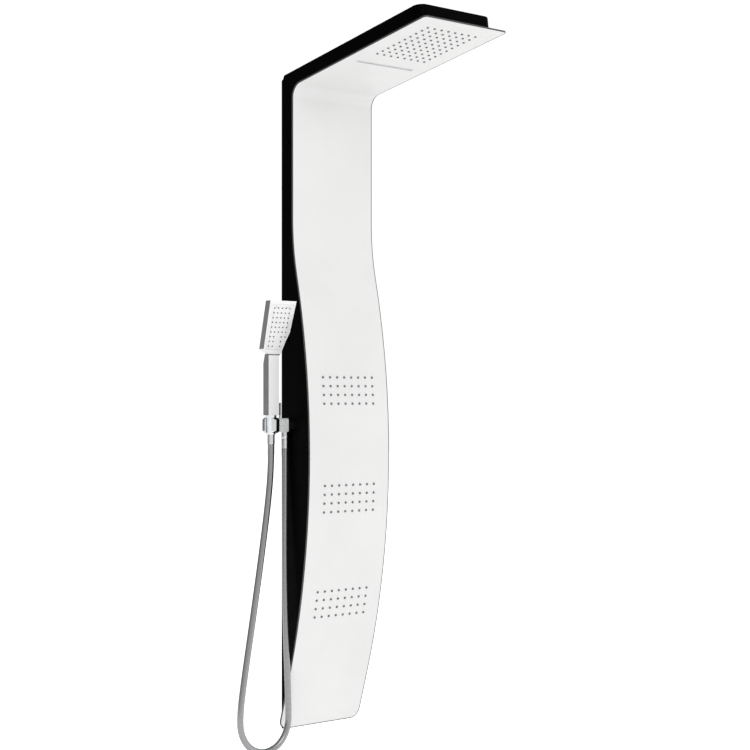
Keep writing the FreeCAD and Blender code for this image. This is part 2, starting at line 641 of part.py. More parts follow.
def tube(name, route, radius, bend):
    """A round bar along straight runs joined by tangent arcs.

    bend is one radius, or a list with a radius for each inner point of the route.
    """
    points = [Vector(value(x), -value(depth), value(z)) for x, depth, z in route]
    bends = [value(bend)] * (len(points) - 2) if not isinstance(bend, list) else bend
    edges, start = [], points[0]
    length = 0.0
    for before, corner, after, bend_radius in zip(points, points[1:], points[2:], bends):
        towards, away = (before - corner).normalize(), (after - corner).normalize()
        half = towards.getAngle(away) / 2
        setback = bend_radius / math.tan(half)
        first, last = corner + towards * setback, corner + away * setback
        centre = corner + (towards + away).normalize() * (bend_radius / math.sin(half))
        middle = centre + (corner - centre).normalize() * bend_radius
        edges += [Part.LineSegment(start, first).toShape(), Part.Arc(first, middle, last).toShape()]
        length += (first - start).Length + bend_radius * (math.pi - 2 * half)
        start = last
    edges.append(Part.LineSegment(start, points[-1]).toShape())
    length += (points[-1] - start).Length
    spine = Part.Wire(edges)
    section = Part.Wire([Part.makeCircle(value(radius), points[0], points[1] - points[0])])
    shape = spine.makePipeShell([section], True, True)
    expected = math.pi * value(radius) ** 2 * length
    assert abs(shape.Volume / expected - 1) < 0.01, name
    return feature(name, shape), length


# the rain pipe runs close under the head's cover, and the waterfall pipe close over the face
RAIN_PIPE_X, SPOUT_PIPE_X = "-15", "40"
RAIN_PIPE_LEVEL = "(casing_height - casing_wall - pipe_radius - 1.5)"
SPOUT_PIPE_LEVEL = "(face_thickness + pipe_radius + 1.5)"
BRANCH_X, DIVERTER_END_X = "-74", "-60"
STUB_RADIUS = "inlet_bore - 1.8"


def make_pipes():
    valve_top = "diverter_z + valve_radius - 2"
    for name, x, level, reach in (
            ("rain_pipe", RAIN_PIPE_X, RAIN_PIPE_LEVEL, f"(rain_reach - {RAIN_ROWS}/2*rain_pitch + 6.5)"),
            ("waterfall_pipe", SPOUT_PIPE_X, SPOUT_PIPE_LEVEL, "(spout_reach - 12)")):
        upright = "(top_depth/2 + 3)"
        corner_reach = f"({upright} - top_depth + ({level})*sin(head_pitch))/cos(head_pitch)"
        corner_depth, corner_z = head_point(corner_reach, level)
        route = [(x, "valve_depth", valve_top), (x, "valve_depth", "belly_z + 310"),
                 (x, upright, "belly_z + 410"), (x, corner_depth, corner_z), (x, *head_point(reach, level))]
        keep(name, tube(name + "_run", route, "pipe_radius", "2.4*pipe_radius")[0])
    riser = [(RISER_X, RISER_DEPTH, "upper_jets_z + 12"), (RISER_X, RISER_DEPTH, "middle_jets_z - 40"),
             (RISER_X, riser_depth_at("lower_jets_z"), "lower_jets_z + 50"),
             (RISER_X, riser_depth_at("lower_jets_z"), "lower_jets_z - 12")]
    keep("jet_riser", tube("jet_riser_run", riser, "pipe_radius", "2.4*pipe_radius")[0])
    mixed_start = ("0", "-valve_depth", "mixer_z + valve_radius - 2")
    keep("mixed_water_pipe", rod("mixed_water_run", "Z", mixed_start,
                                 "diverter_z - mixer_z - 2*valve_radius + 4", "pipe_radius"))
    branch = [(f"-{CASING_X} + casing_wall + 9", "outlet_depth", "outlet_z"),
              (BRANCH_X, "outlet_depth", "outlet_z"), (BRANCH_X, "valve_depth", "diverter_z"),
              (DIVERTER_END_X, "valve_depth", "diverter_z")]
    keep("handset_pipe", tube("handset_pipe_run", branch, "5", "6.5")[0])
    for side, name in ((-1, "hot_inlet_pipe"), (1, "cold_inlet_pipe")):
        x = f"{side}*inlet_spacing/2"
        route = [(x, "20.5", "inlet_z"), (x, "valve_depth", "inlet_z"),
                 (x, "valve_depth", "mixer_z - valve_radius + 2")]
        run = tube(name + "_run", route, "pipe_radius", "2.4*pipe_radius")[0]
        collar = rod(name + "_collar", "Y", (x, "-15.5", "inlet_z"), "2", "inlet_bore - 0.5")
        stub = rod(name + "_stub", "Y", (x, "-24", "inlet_z"), "10", STUB_RADIUS)
        keep(name, fuse(name + "_union", run, stub, collar))


def make_inlet_nut(name, x):
    """A hexagonal swivel nut, open to the wall, with room behind its thread for the pipe's collar."""
    hexagon = hex_bar(name + "_hexagon", "Y", (x, "-19.5", "inlet_z"), "18", "13.5")
    bore = rod(name + "_bore", "Y", (x, "-14", "inlet_z"), "18", "inlet_bore")
    relief = rod(name + "_relief", "Y", (x, "-16", "inlet_z"), "2.8", "inlet_bore + 0.7")
    lip = rod(name + "_lip", "Y", (x, "-25", "inlet_z"), "20", STUB_RADIUS + " + running_gap")
    keep(name, cut(name + "_cut", hexagon, bore, relief, lip))


def hex_bar(name, axis, start, length, radius):
    """A six-sided bar by its corner radius."""
    bar = doc.addObject("Part::Prism", name)
    bar.Polygon = 6
    bar.setExpression("Circumradius", bound(radius))
    bar.setExpression("Height", bound(length))
    return place(bar, *start, *TURNS[axis])


# ---------------------------------------------------------------- valves and their controls

CARTRIDGE_NOSE = f"({INSIDE_X} - 3)"


def make_valve(name, low_x, cartridge_length):
    """A horizontal valve body with a cartridge in its right end, and the cartridge's turning stem."""
    spot = ("-valve_depth", f"{name}_z")
    body_end = f"({INSIDE_X} - 8)"
    solid = rod(name + "_tube", "X", (low_x, *spot), f"{body_end} - ({low_x})", "valve_radius")
    bore = rod(name + "_bore", "X", (f"{body_end} - {cartridge_length}", *spot), f"{cartridge_length} + 1",
               "valve_radius - 4")
    keep(name + "_body", cut(name + "_body_cut", solid, bore))
    cartridge = rod(name + "_core", "X", (f"{body_end} - {cartridge_length}", *spot),
                    f"{CARTRIDGE_NOSE} - {body_end} + {cartridge_length}", "valve_radius - 4")
    stem_bore = rod(name + "_stem_bore", "X", (f"{CARTRIDGE_NOSE} - 16", *spot), "17",
                    "stem_radius + running_gap")
    keep(name + "_cartridge", cut(name + "_cartridge_cut", cartridge, stem_bore))
    plate = rod(name + "_plate", "X", (CASING_X, *spot), "3", "knob_radius + 6")
    plate_bore = rod(name + "_plate_bore", "X", (f"{CASING_X} - 1", *spot), "5", "stem_radius + 2")
    keep(name + "_escutcheon", cut(name + "_escutcheon_cut", plate, plate_bore))


KNOB_X = f"({CASING_X} + 4)"


def make_stem(name, spot):
    """A stem from inside the cartridge into its knob; returns the knob's socket for it."""
    start = f"({CARTRIDGE_NOSE} - 15)"
    keep(name + "_stem", rod(name + "_stem_bar", "X", (start, *spot), f"{KNOB_X} + 14 - {start}",
                             "stem_radius"))
    return rod(name + "_socket", "X", (f"{KNOB_X} - 1", *spot), "15", "stem_radius")


def make_temperature_knob():
    """A round knob with the stop button in its middle."""
    spot = ("-valve_depth", "mixer_z")
    socket = make_stem("temperature", spot)
    drum = rod("temperature_drum", "X", (KNOB_X, *spot), "knob_height", "knob_radius")
    recess = rod("button_recess", "X", (f"{KNOB_X} + knob_height - 8", *spot), "9", "8")
    keep("temperature_knob", cut("temperature_knob_cut", drum, socket, recess))
    keep("stop_button", rod("stop_button_bar", "X", (f"{KNOB_X} + knob_height - 5", *spot), "7.5", "7.6"))


def make_diverter_knob():
    """A low drum with a bar handle across it."""
    spot = ("-valve_depth", "diverter_z")
    socket = make_stem("diverter", spot)
    drum = rod("diverter_drum", "X", (KNOB_X, *spot), "14", "knob_radius - 2")
    bar = block("diverter_bar", (f"{KNOB_X} + 12", f"{KNOB_X} + knob_height"),
                ("-valve_depth - 5", "-valve_depth + 5"), ("diverter_z - 34", "diverter_z + 16"))
    keep("diverter_knob", cut("diverter_knob_cut", fuse("diverter_knob_union", drum, bar), socket))


# ---------------------------------------------------------------- hand shower outlet and holder

HOSE_X = f"(-{CASING_X} - hose_exit - hose_radius)"
CRADLE_X = f"(-{CASING_X} - cradle_reach)"
HOLDER_X = (f"(-{CASING_X} - neck_length - holder_length)", f"(-{CASING_X} - neck_length)")
FIXED_TOP = "(outlet_z - neck_radius - 9)"


def make_holder():
    neck = rod("outlet_neck_bar", "X", (HOLDER_X[1], "-outlet_depth", "outlet_z"),
               "neck_length", "neck_radius")
    spout = rod("outlet_spout", "Z", (HOSE_X, "-outlet_depth", FIXED_TOP),
                f"outlet_z - {FIXED_TOP}", "hose_radius + 0.2")
    tail = rod("outlet_tail", "X", (f"-{CASING_X} - 1", "-outlet_depth", "outlet_z"),
               "casing_wall + 10", "neck_radius - 2")
    keep("outlet_elbow", fuse("outlet_elbow_union", neck, spout, tail))
    nut = hex_bar("outlet_locknut_bar", "X", (f"-{INSIDE_X}", "-outlet_depth", "outlet_z"), "5", "15")
    hole = rod("outlet_locknut_hole", "X", (f"-{INSIDE_X} - 1", "-outlet_depth", "outlet_z"), "7",
               "neck_radius - 2")
    keep("outlet_locknut", cut("outlet_locknut_cut", nut, hole))

    front = "(-holder_front)"
    corners, arcs = rounded_corners((front, f"{front} + holder_depth"),
                                    ("outlet_z - holder_height/2", "outlet_z + holder_height/2"),
                                    ("4",) * 4)
    holder = prism("holder_bar", "YZ_Plane", corners, HOLDER_X[0], HOLDER_X[1], arcs)
    axis = (CRADLE_X, "-cradle_depth", "outlet_z - cradle_height/2")
    socket = rod("holder_socket", "Z", (*axis[:2], "shower_foot_z - cone_length"), "cone_length",
                 "cone_top + running_gap", "cone_foot + running_gap")
    drum = rod("cradle_drum", "Z", axis, "cradle_height", "cradle_radius")
    ball = doc.addObject("Part::Sphere", "cradle_ball")
    ball.setExpression("Radius", bound("cradle_crown"))
    place(ball, CRADLE_X, "-cradle_depth", "outlet_z")
    slot = doc.addObject("Part::Box", "cradle_slot")
    slot.setExpression("Length", bound("2*cradle_radius"))
    slot.setExpression("Width", bound("2*(hose_radius + 1)"))
    slot.setExpression("Height", bound("2*cradle_height"))
    place(slot, f"{CRADLE_X} + (hose_radius + 1)*sin(cradle_turn)",
          "-cradle_depth - (hose_radius + 1)*cos(cradle_turn)", "outlet_z - cradle_height",
          Vector(0, 0, 1), "cradle_turn")
    ring = common("cradle_barrel", drum, ball)
    keep("cradle", cut("cradle_cut", ring, socket, slot))
    spout_room = rod("holder_spout_room", "Z", (HOSE_X, "-outlet_depth", f"{FIXED_TOP} - 1"),
                     f"outlet_z - {FIXED_TOP} + 1.5", "hose_radius + 0.7")
    keep("holder_block", cut("holder_block_cut", holder, ring, spout_room))
    guide_foot = (f"-{CASING_X} - neck_length - 17", "-outlet_depth - 12", "outlet_z + holder_height/2")
    keep("handle_guide", rod("handle_guide_pin", "Z", guide_foot, "34", "4.5"))


# ---------------------------------------------------------------- hose and its fittings

FREE_TOP = "(shower_foot_z - cone_length)"


def make_hose_fittings():
    fixed = (HOSE_X, "-outlet_depth")
    shell = rod("hose_nut_bar", "Z", (*fixed, f"{FIXED_TOP} - 9"), "14.5", "hose_radius + 1.6")
    shell_bore = rod("hose_nut_bore", "Z", (*fixed, f"{FIXED_TOP} - 6.5"), "20", "hose_radius + 0.6")
    lip = rod("hose_nut_lip", "Z", (*fixed, f"{FIXED_TOP} - 20"), "20", "5.5 + running_gap")
    keep("hose_nut", cut("hose_nut_cut", shell, shell_bore, lip))
    collar = rod("fixed_collar", "Z", (*fixed, f"{FIXED_TOP} - 5.5"), "2", "hose_radius + 0.2")
    neck = rod("fixed_neck", "Z", (*fixed, f"{FIXED_TOP} - 12"), "8", "5.5")
    sleeve = rod("fixed_sleeve", "Z", (*fixed, f"{FIXED_TOP} - 30"), "20", "hose_radius + 0.8")
    keep("hose_ferrule_fixed", fuse("hose_ferrule_fixed_union", collar, neck, sleeve))

    seal = rod("fixed_seal", "Z", (*fixed, f"{FIXED_TOP} - 3.5"), "3.5", "hose_radius")
    seal_bore = rod("fixed_seal_bore", "Z", (*fixed, f"{FIXED_TOP} - 4"), "5", "4")
    keep("hose_washer", cut("hose_washer_cut", seal, seal_bore))

    free = (CRADLE_X, "-cradle_depth")
    cone = rod("hose_cone_bar", "Z", (*free, FREE_TOP), "cone_length", "cone_top", "cone_foot")
    thread = rod("hose_cone_thread", "Z", (*free, "shower_foot_z - 18"), "20", "8")
    throat = rod("hose_cone_throat", "Z", (*free, f"{FREE_TOP} - 1"), "13", "5.5 + running_gap")
    keep("hose_cone", cut("hose_cone_cut", cone, thread, throat))
    neck = rod("free_neck", "Z", (*free, f"{FREE_TOP} - 2"), "12", "5.5")
    sleeve = rod("free_sleeve", "Z", (*free, f"{FREE_TOP} - 21"), "20.4", "hose_radius + 0.8")
    keep("hose_ferrule_free", fuse("hose_ferrule_free_union", neck, sleeve))


# out from the casing wall, out from the room's wall, and height
HOSE_ROUTE = [
    ("hose_exit + hose_radius", "outlet_depth", f"{FIXED_TOP} - 30"),
    ("hose_exit + hose_radius", "outlet_depth", f"{FIXED_TOP} - 75"),
    (11.5, 31, -800), (16.5, 37, -920), (21.5, 47, -1060), (22.5, 56, -1180), (23, 60, -1245),
    (25.5, 62, -1287), (48.5, 63, -1320), (86.5, 63, -1333), (124.5, 63, -1320), (147.5, 62, -1287),
    (149.5, 60, -1245), (136.5, 57, -1170), (110.5, 51, -1045), (84.5, 46, -910), (63, 43, -780),
    ("cradle_reach", "cradle_depth", f"{FREE_TOP} - 64"), ("cradle_reach", "cradle_depth", f"{FREE_TOP} - 21"),
]


def make_hose():
    route = [(f"-{CASING_X} - ({out})", depth, level) for out, depth, level in HOSE_ROUTE]
    points = [Vector(value(x), -value(depth), value(level)) for x, depth, level in route]
    runs = [(there - here).Length for here, there in zip(points, points[1:])]
    bends = []
    for before, corner, after, run, following in zip(points, points[1:], points[2:], runs, runs[1:]):
        turn = (corner - before).getAngle(after - corner)
        bends.append(0.45 * min(run, following) / math.tan(turn / 2))
    hose, length = tube("hose_tube_run", route, "hose_radius", bends)
    keep("hose", hose)
    print("hose length", round(length), "runs", [round(run) for run in runs])
    print("bend radii in diameters", [round(bend / value("2*hose_radius"), 1) for bend in bends])


# ---------------------------------------------------------------- hand shower

def make_hand_shower():
    """A flat head that leans forward over a square handle, with its own spray face and nozzles."""
    grip_front = "(cradle_depth + grip_depth/2)"
    grip_back = "(cradle_depth - grip_depth/2)"
    top_z = "(shower_foot_z + shower_length)"
    chin_z = f"({top_z} - spray_length*cos(spray_lean) - 12)"
    chin_depth = f"({grip_front} + chin_step)"
    front_top = (f"{chin_depth} + ({top_z} - {chin_z})*tan(spray_lean)", top_z)
    back_top = (f"{front_top[0]} - spray_thickness/cos(spray_lean)", top_z)
    nape_z = f"({top_z} - ({back_top[0]} - {grip_back})/tan(spray_lean))"
    side = [(grip_front, "shower_foot_z"), (grip_front, f"{chin_z} - 3"), (chin_depth, chin_z),
            front_top, back_top, (grip_back, nape_z), (grip_back, "shower_foot_z")]
    half_top, half_foot, half_grip = "spray_width/2", "spray_foot_width/2", "grip_width/2"
    left = [(half_grip, chin_z), (half_foot, f"{chin_z} + 10"), (half_top, top_z)]
    right = [(half_grip, f"{chin_z} - 8"), (f"{half_foot} - 7", f"{chin_z} + 28"),
             (half_foot, f"{chin_z} + 46"), (half_top, top_z)]

    def front_blank(name, rim):
        """The hand shower's outline from the front, drawn in by rim."""
        corners = [(f"{CRADLE_X} + {half} - ({rim})", level) for half, level in right]
        corners += [(f"{CRADLE_X} - ({half}) + ({rim})", level) for half, level in left[::-1]]
        foot = [(f"{CRADLE_X} {sign} ({half_grip} - ({rim}))", "shower_foot_z") for sign in "-+"]
        return prism(name, "XZ_Plane", foot + corners, "0", "cradle_depth + 100")

    shell = common("shower_blank",
                   side_prism("shower_side", side, {}, f"{CRADLE_X} - spray_width",
                              f"{CRADLE_X} + spray_width"),
                   front_blank("shower_front", "0"))

    def room(edge, level):
        """Half the head's width at a height, along one of its edges."""
        points = [(value(height), value(half)) for half, height in edge]
        for (low, narrow), (high, wide) in zip(points, points[1:]):
            if low <= level <= high:
                return narrow + (wide - narrow) * (level - low) / (high - low)
        return value(half_grip)

    face_length = f"(({top_z} - {chin_z})/cos(spray_lean))"

    def on_face(across, up, behind):
        """A point on the spray face: across it, up it from the chin, and behind it."""
        return (f"{CRADLE_X} + {across}",
                f"-({chin_depth} + ({up})*sin(spray_lean) - ({behind})*cos(spray_lean))",
                f"{chin_z} + ({up})*cos(spray_lean) + ({behind})*sin(spray_lean)")

    low, high = "9", f"({face_length} - 8)"

    def face_slab(name, rim, end_gap, behind, thickness):
        """A slab set in the spray face that follows the head's outline, thickness deep and behind it."""
        slab = doc.addObject("Part::Box", name + "_slab")
        slab.setExpression("Length", bound("2*spray_width"))
        slab.setExpression("Width", bound(thickness))
        slab.setExpression("Height", bound(f"{high} - {low} - 2*({end_gap})"))
        place(slab, *on_face("(-spray_width)", f"{low} + {end_gap}", f"({behind}) - ({thickness})"),
              Vector(1, 0, 0), "spray_lean")
        return common(name, slab, front_blank(name + "_outline", rim))

    pocket = face_slab("shower_pocket", "spray_rim", "0", "5", "7")
    keep("handset_body", cut("handset_body_cut", shell, pocket))
    plate = face_slab("shower_plate", "spray_rim + 0.2", "0.2", "3", "3")
    holes, tips = [], []
    lean = math.radians(value("spray_lean"))
    forward = Vector(0, -math.cos(lean), -math.sin(lean))
    for row in range(HAND_ROWS):
        for column in range(HAND_COLUMNS):
            offset = column - (HAND_COLUMNS - 1) / 2
            spot = on_face(f"({offset}*hand_column_pitch)", f"{low} + 8 + {row}*hand_pitch", "4")
            start = Vector(*[value(text) for text in spot])
            edge = right if offset > 0 else left
            margin = value("spray_rim + 2*hand_nozzle")
            if abs(start.x - value(CRADLE_X)) > room(edge, start.z) - margin or (row < 3 and offset == 0):
                continue
            holes.append(Part.makeCylinder(value("hand_nozzle + 0.2"), 6, start, forward))
            tips.append(Part.makeCylinder(value("hand_nozzle"), 4.8, start, forward))
    keep("handset_face", cut("handset_face_cut", plate, feature("shower_holes", Part.Compound(holes))))
    mat = face_slab("shower_mat", "spray_rim + 0.2", "0.2", "5", "2")
    keep("handset_nozzles", fuse("handset_nozzles_union", mat, feature("shower_tips", Part.Compound(tips))))
    keep("handset_inlet", rod("handset_inlet_bar", "Z", (CRADLE_X, "-cradle_depth", "shower_foot_z - 18"),
                              "18", "8"))


# ---------------------------------------------------------------- build, check and write

def build():
    make_face()
    make_casing()
    for name, (strap_z, bracket) in STRAPS.items():
        make_strap(name, strap_z, bracket)
        if bracket:
            make_bracket(bracket, strap_z)
    make_casing_screws()
    for bank in ("upper", "middle", "lower"):
        make_jet_bank(bank)
    make_rain_head()
    make_waterfall()
    make_pipes()
    for side, name in ((-1, "hot_inlet_nut"), (1, "cold_inlet_nut")):
        make_inlet_nut(name, f"{side}*inlet_spacing/2")
    make_valve("mixer", f"-{INSIDE_X} + 5", "30")
    make_valve("diverter", DIVERTER_END_X, "26")
    make_temperature_knob()
    make_diverter_knob()
    make_holder()
    make_hose_fittings()
    make_hose()
    make_hand_shower()


def check():
    """Stop if anything in the document failed or a sub-part is not a sound solid."""
    doc.recompute()
    for item in doc.Objects:
        if {"Invalid", "Error"} & set(item.State):
            raise RuntimeError(f"{item.Name} failed: {item.getStatusString()}")
    for name, item in NODES.items():
        shape = item.Shape
        if shape.isNull() or not shape.isValid() or not shape.Solids:
            raise RuntimeError(f"{name} is not a sound solid")


def write():
    os.makedirs("parts", exist_ok=True)
    for name, item in NODES.items():
        item.Shape.exportStep(f"parts/{name}.step")
    print(len(NODES), "sub-parts")


build()
check()
write()
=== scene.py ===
"""A wall-mounted rainfall shower column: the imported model's frame, its finer meshes and its finishes."""
import math

import bmesh
import bpy
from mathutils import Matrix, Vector


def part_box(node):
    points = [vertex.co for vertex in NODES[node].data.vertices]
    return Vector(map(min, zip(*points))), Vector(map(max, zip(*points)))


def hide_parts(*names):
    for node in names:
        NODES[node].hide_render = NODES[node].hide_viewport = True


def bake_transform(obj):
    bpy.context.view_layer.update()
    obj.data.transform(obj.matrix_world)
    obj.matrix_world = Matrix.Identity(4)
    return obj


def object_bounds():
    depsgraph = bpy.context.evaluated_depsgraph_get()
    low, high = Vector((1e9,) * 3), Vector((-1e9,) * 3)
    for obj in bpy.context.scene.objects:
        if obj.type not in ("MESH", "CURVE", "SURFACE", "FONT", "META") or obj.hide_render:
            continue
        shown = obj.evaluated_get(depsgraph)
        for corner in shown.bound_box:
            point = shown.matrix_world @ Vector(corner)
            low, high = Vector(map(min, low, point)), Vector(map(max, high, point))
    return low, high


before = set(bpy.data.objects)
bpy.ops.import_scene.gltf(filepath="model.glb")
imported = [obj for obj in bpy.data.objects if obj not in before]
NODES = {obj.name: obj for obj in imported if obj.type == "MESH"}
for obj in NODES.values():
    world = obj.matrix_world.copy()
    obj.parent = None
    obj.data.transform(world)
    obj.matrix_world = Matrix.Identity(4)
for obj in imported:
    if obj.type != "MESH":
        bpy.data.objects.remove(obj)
cad_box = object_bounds()

# ---------------------------------------------------------------- camera, floor and light

CAMERA_PLACE = (-2.0271, -2.7916, -0.56)
CAMERA_TURN = -38.164
SENSOR_WIDTH, LENS = 36, 73.13
FRAMING_SHIFT = 0.0267
NEAREST, FARTHEST = 0.05, 60

camera = bpy.data.objects.new("view", bpy.data.cameras.new("view"))
bpy.context.collection.objects.link(camera)
camera.location = CAMERA_PLACE
camera.rotation_euler = (math.radians(90), 0, math.radians(CAMERA_TURN))
camera.data.sensor_width, camera.data.lens = SENSOR_WIDTH, LENS
camera.data.shift_y = FRAMING_SHIFT
camera.data.clip_start, camera.data.clip_end = NEAREST, FARTHEST
bpy.context.scene.camera = camera
bpy.context.scene.view_settings.view_transform = "Standard"

FLOOR_GAP = 0.004
FLOOR_Z = cad_box[0].z - FLOOR_GAP


def shader(name, **values):
    """A material with a Principled shader; returns it with its node tree and its shader."""
    material = bpy.data.materials.new(name)
    material.use_nodes = True
    tree = material.node_tree
    principled = tree.nodes["Principled BSDF"]
    for socket, number in values.items():
        principled.inputs[socket.replace("_", " ")].default_value = number
    return material, tree, principled


def node(tree, kind, **settings):
    """A node of that kind; a setting is an attribute, or an input when it is spelt with a capital."""
    made = tree.nodes.new(kind)
    for key, given in settings.items():
        if key[0].isupper():
            made.inputs[key.replace("_", " ")].default_value = given
        else:
            setattr(made, key, given)
    return made


def noise(tree, scale, detail=3.0, stretch=(1, 1, 1)):
    """Noise over object coordinates, in features of about 1/scale metres."""
    place = node(tree, "ShaderNodeTexCoord")
    mapping = node(tree, "ShaderNodeMapping", Scale=stretch)
    grain = node(tree, "ShaderNodeTexNoise", Scale=scale, Detail=detail)
    tree.links.new(place.outputs["Object"], mapping.inputs["Vector"])
    tree.links.new(mapping.outputs["Vector"], grain.inputs["Vector"])
    return grain.outputs["Fac"]


def ramp(tree, source, low, high, start=0.35, end=0.65):
    """The source mapped from start..end to a colour or value between low and high."""
    if isinstance(low, tuple):
        made = node(tree, "ShaderNodeValToRGB")
        made.color_ramp.elements[0].position, made.color_ramp.elements[1].position = start, end
        made.color_ramp.elements[0].color, made.color_ramp.elements[1].color = (*low, 1), (*high, 1)
        tree.links.new(source, made.inputs["Fac"])
        return made.outputs["Color"]
    made = node(tree, "ShaderNodeMapRange")
    for index, given in enumerate((start, end, low, high), start=1):
        made.inputs[index].default_value = given
    tree.links.new(source, made.inputs["Value"])
    return made.outputs["Result"]


def bump(tree, principled, source, height):
    """Relief of that height in metres from a source."""
    made = node(tree, "ShaderNodeBump", Strength=1.0, Distance=height)
    tree.links.new(source, made.inputs["Height"])
    tree.links.new(made.outputs["Normal"], principled.inputs["Normal"])


def calc(tree, operation, *given):
    """One step of arithmetic on sockets and numbers."""
    made = node(tree, "ShaderNodeMath", operation=operation)
    for socket, source in zip(made.inputs, given):
        if isinstance(source, bpy.types.NodeSocket):
            tree.links.new(source, socket)
        else:
            socket.default_value = source
    return made.outputs[0]


def object_axes(tree, output="Object"):
    """X, Y and Z of the place on the object, or of the way its surface faces."""
    source = node(tree, "ShaderNodeTexCoord")
    axes = node(tree, "ShaderNodeSeparateXYZ")
    tree.links.new(source.outputs[output], axes.inputs["Vector"])
    return [axes.outputs[axis] for axis in "XYZ"]


def overlay(tree, principled, mask, colour, socket="Base Color"):
    """Lay another colour or number over what drives a shader's socket, where the mask is 1."""
    below = principled.inputs[socket].links[0].from_socket
    coloured = isinstance(colour, tuple)
    made = node(tree, "ShaderNodeMix", data_type="RGBA" if coloured else "FLOAT")
    # a mix node numbers its colour sockets after its number sockets
    first, second, result = (6, 7, 2) if coloured else (2, 3, 0)
    tree.links.new(mask, made.inputs[0])
    tree.links.new(below, made.inputs[first])
    made.inputs[second].default_value = (*colour, 1) if coloured else colour
    tree.links.new(made.outputs[result], principled.inputs[socket])


WEAR_TO_DRIFT = 3.7


def finish_of(name, dark, light, rough, scale=60.0, relief=0.0, relief_scale=400.0,
              stretch=(1, 1, 1), **values):
    """A finish whose colour and gloss drift a little over the surface, with a fine relief."""
    material, tree, principled = shader(name, **values)
    drift = noise(tree, scale, stretch=stretch)
    tree.links.new(ramp(tree, drift, dark, light), principled.inputs["Base Color"])
    wear = noise(tree, scale * WEAR_TO_DRIFT, 5.0, stretch)
    tree.links.new(ramp(tree, wear, rough[0], rough[1]), principled.inputs["Roughness"])
    if relief:
        bump(tree, principled, noise(tree, relief_scale, 2.0, stretch), relief)
    return material


WHITE = finish_of("white_enamel", (0.80, 0.80, 0.795), (0.83, 0.83, 0.825), (0.36, 0.44), scale=7.0,
                  relief=0.00001, relief_scale=700.0, Coat_Weight=0.25, Coat_Roughness=0.22)
BLACK = finish_of("black_enamel", (0.0003, 0.0003, 0.0003), (0.0008, 0.0008, 0.0009), (0.34, 0.46),
                  scale=12.0, relief=0.00002, relief_scale=900.0, Specular_IOR_Level=0.02)
CHROME = finish_of("chrome_plate", (0.80, 0.81, 0.83), (0.88, 0.89, 0.90), (0.03, 0.08), scale=40.0,
                   relief=0.000004, relief_scale=300.0, Metallic=1.0)
SATIN = finish_of("satin_chrome", (0.92, 0.92, 0.925), (0.96, 0.96, 0.965), (0.24, 0.34), scale=90.0,
                  relief=0.000004, relief_scale=1500.0, Metallic=0.1)
STEEL = finish_of("brushed_steel", (0.74, 0.75, 0.76), (0.84, 0.85, 0.86), (0.30, 0.44), scale=70.0,
                  relief=0.00001, relief_scale=900.0, stretch=(0.08, 1, 1), Metallic=0.55)
ZINC = finish_of("zinc_plate", (0.42, 0.43, 0.45), (0.58, 0.59, 0.60), (0.30, 0.50), scale=35.0,
                 relief=0.00002, relief_scale=500.0, Metallic=1.0)
BRASS = finish_of("cast_brass", (0.56, 0.40, 0.16), (0.68, 0.50, 0.23), (0.28, 0.45), scale=45.0,
                  relief=0.00006, relief_scale=650.0, Metallic=1.0)
RUBBER = finish_of("grey_silicone", (0.12, 0.125, 0.13), (0.17, 0.175, 0.18), (0.50, 0.65), scale=150.0,
                   relief=0.00002, relief_scale=1800.0)
PALE_RUBBER = finish_of("pale_silicone", (0.07, 0.072, 0.075), (0.11, 0.112, 0.115), (0.45, 0.6), scale=150.0,
                        relief=0.00002, relief_scale=1800.0)
BLACK_RUBBER = finish_of("washer_rubber", (0.012, 0.012, 0.012), (0.03, 0.03, 0.03), (0.6, 0.8), scale=200.0,
                         relief=0.00003, relief_scale=1500.0)
MOULDED = finish_of("moulded_plastic", (0.50, 0.51, 0.52), (0.58, 0.59, 0.60), (0.38, 0.5), scale=30.0,
                    relief=0.00003, relief_scale=1200.0)
PIPE = finish_of("pipe_plastic", (0.66, 0.66, 0.64), (0.74, 0.74, 0.72), (0.35, 0.48), scale=50.0,
                 relief=0.00002, relief_scale=800.0, stretch=(1, 1, 0.2))
GREY = finish_of("cartridge_plastic", (0.13, 0.13, 0.14), (0.19, 0.19, 0.20), (0.4, 0.55), scale=80.0,
                 relief=0.00003, relief_scale=1300.0)
RED = finish_of("button_red", (0.42, 0.012, 0.010), (0.52, 0.02, 0.015), (0.22, 0.32), scale=120.0,
                relief=0.00002, relief_scale=1400.0, Coat_Weight=0.3)

FOOT_CORNER, FRONT_CORNER = 0.022, 0.009
HEAD_PITCH = 8.2
# where a painted shade line along the white face's outline is full and where it has faded, and its dark
# colour
OUTLINE_SHADE_FULL, OUTLINE_SHADE_GONE = 0.0017, 0.0022
OUTLINE_SHADE_COLOUR = (0.045, 0.045, 0.045)


def excess(tree, larger, smaller):
    """How far one is above the other, and nothing where it is below."""
    return calc(tree, "MAXIMUM", calc(tree, "SUBTRACT", larger, smaller), 0.0)


def square(tree, given):
    return calc(tree, "POWER", given, 2.0)


